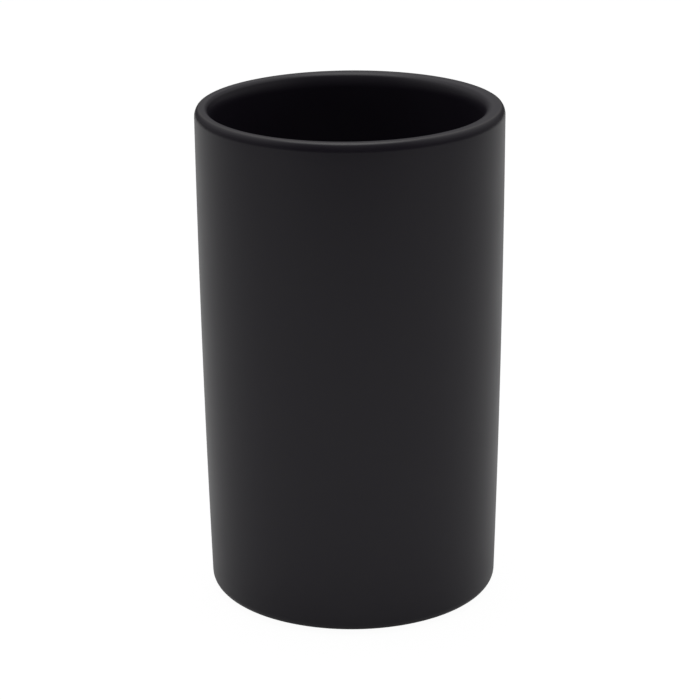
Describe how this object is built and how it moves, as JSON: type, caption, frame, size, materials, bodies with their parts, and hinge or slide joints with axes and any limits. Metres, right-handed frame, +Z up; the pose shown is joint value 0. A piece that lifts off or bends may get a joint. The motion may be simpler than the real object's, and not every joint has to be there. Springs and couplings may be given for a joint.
{
  "type": "bathroom tumbler",
  "caption": "Tall round ceramic tumbler, matte black, with a wall that draws in slightly to its base, a soft lip and bumper feet; holds water or toothbrushes.",
  "frame": {"origin": "on the tumbler's axis, at the level of the feet's lower faces", "axes": "+Z up along the tumbler's axis, out of its mouth; -Y towards the viewer of the picture"},
  "size_m": [0.07, 0.07, 0.1158],
  "materials": {
    "black_glaze": "matte",
    "foot_rubber": "matte",
    "foot_adhesive": "satin"
  },
  "bodies": {
    "root": {"tumbler_body": "black_glaze", "foot_front": "foot_rubber", "foot_right": "foot_rubber", "foot_back": "foot_rubber", "foot_left": "foot_rubber", "foot_tape_front": "foot_adhesive", "foot_tape_right": "foot_adhesive", "foot_tape_back": "foot_adhesive", "foot_tape_left": "foot_adhesive"}
  },
  "joints": []
}
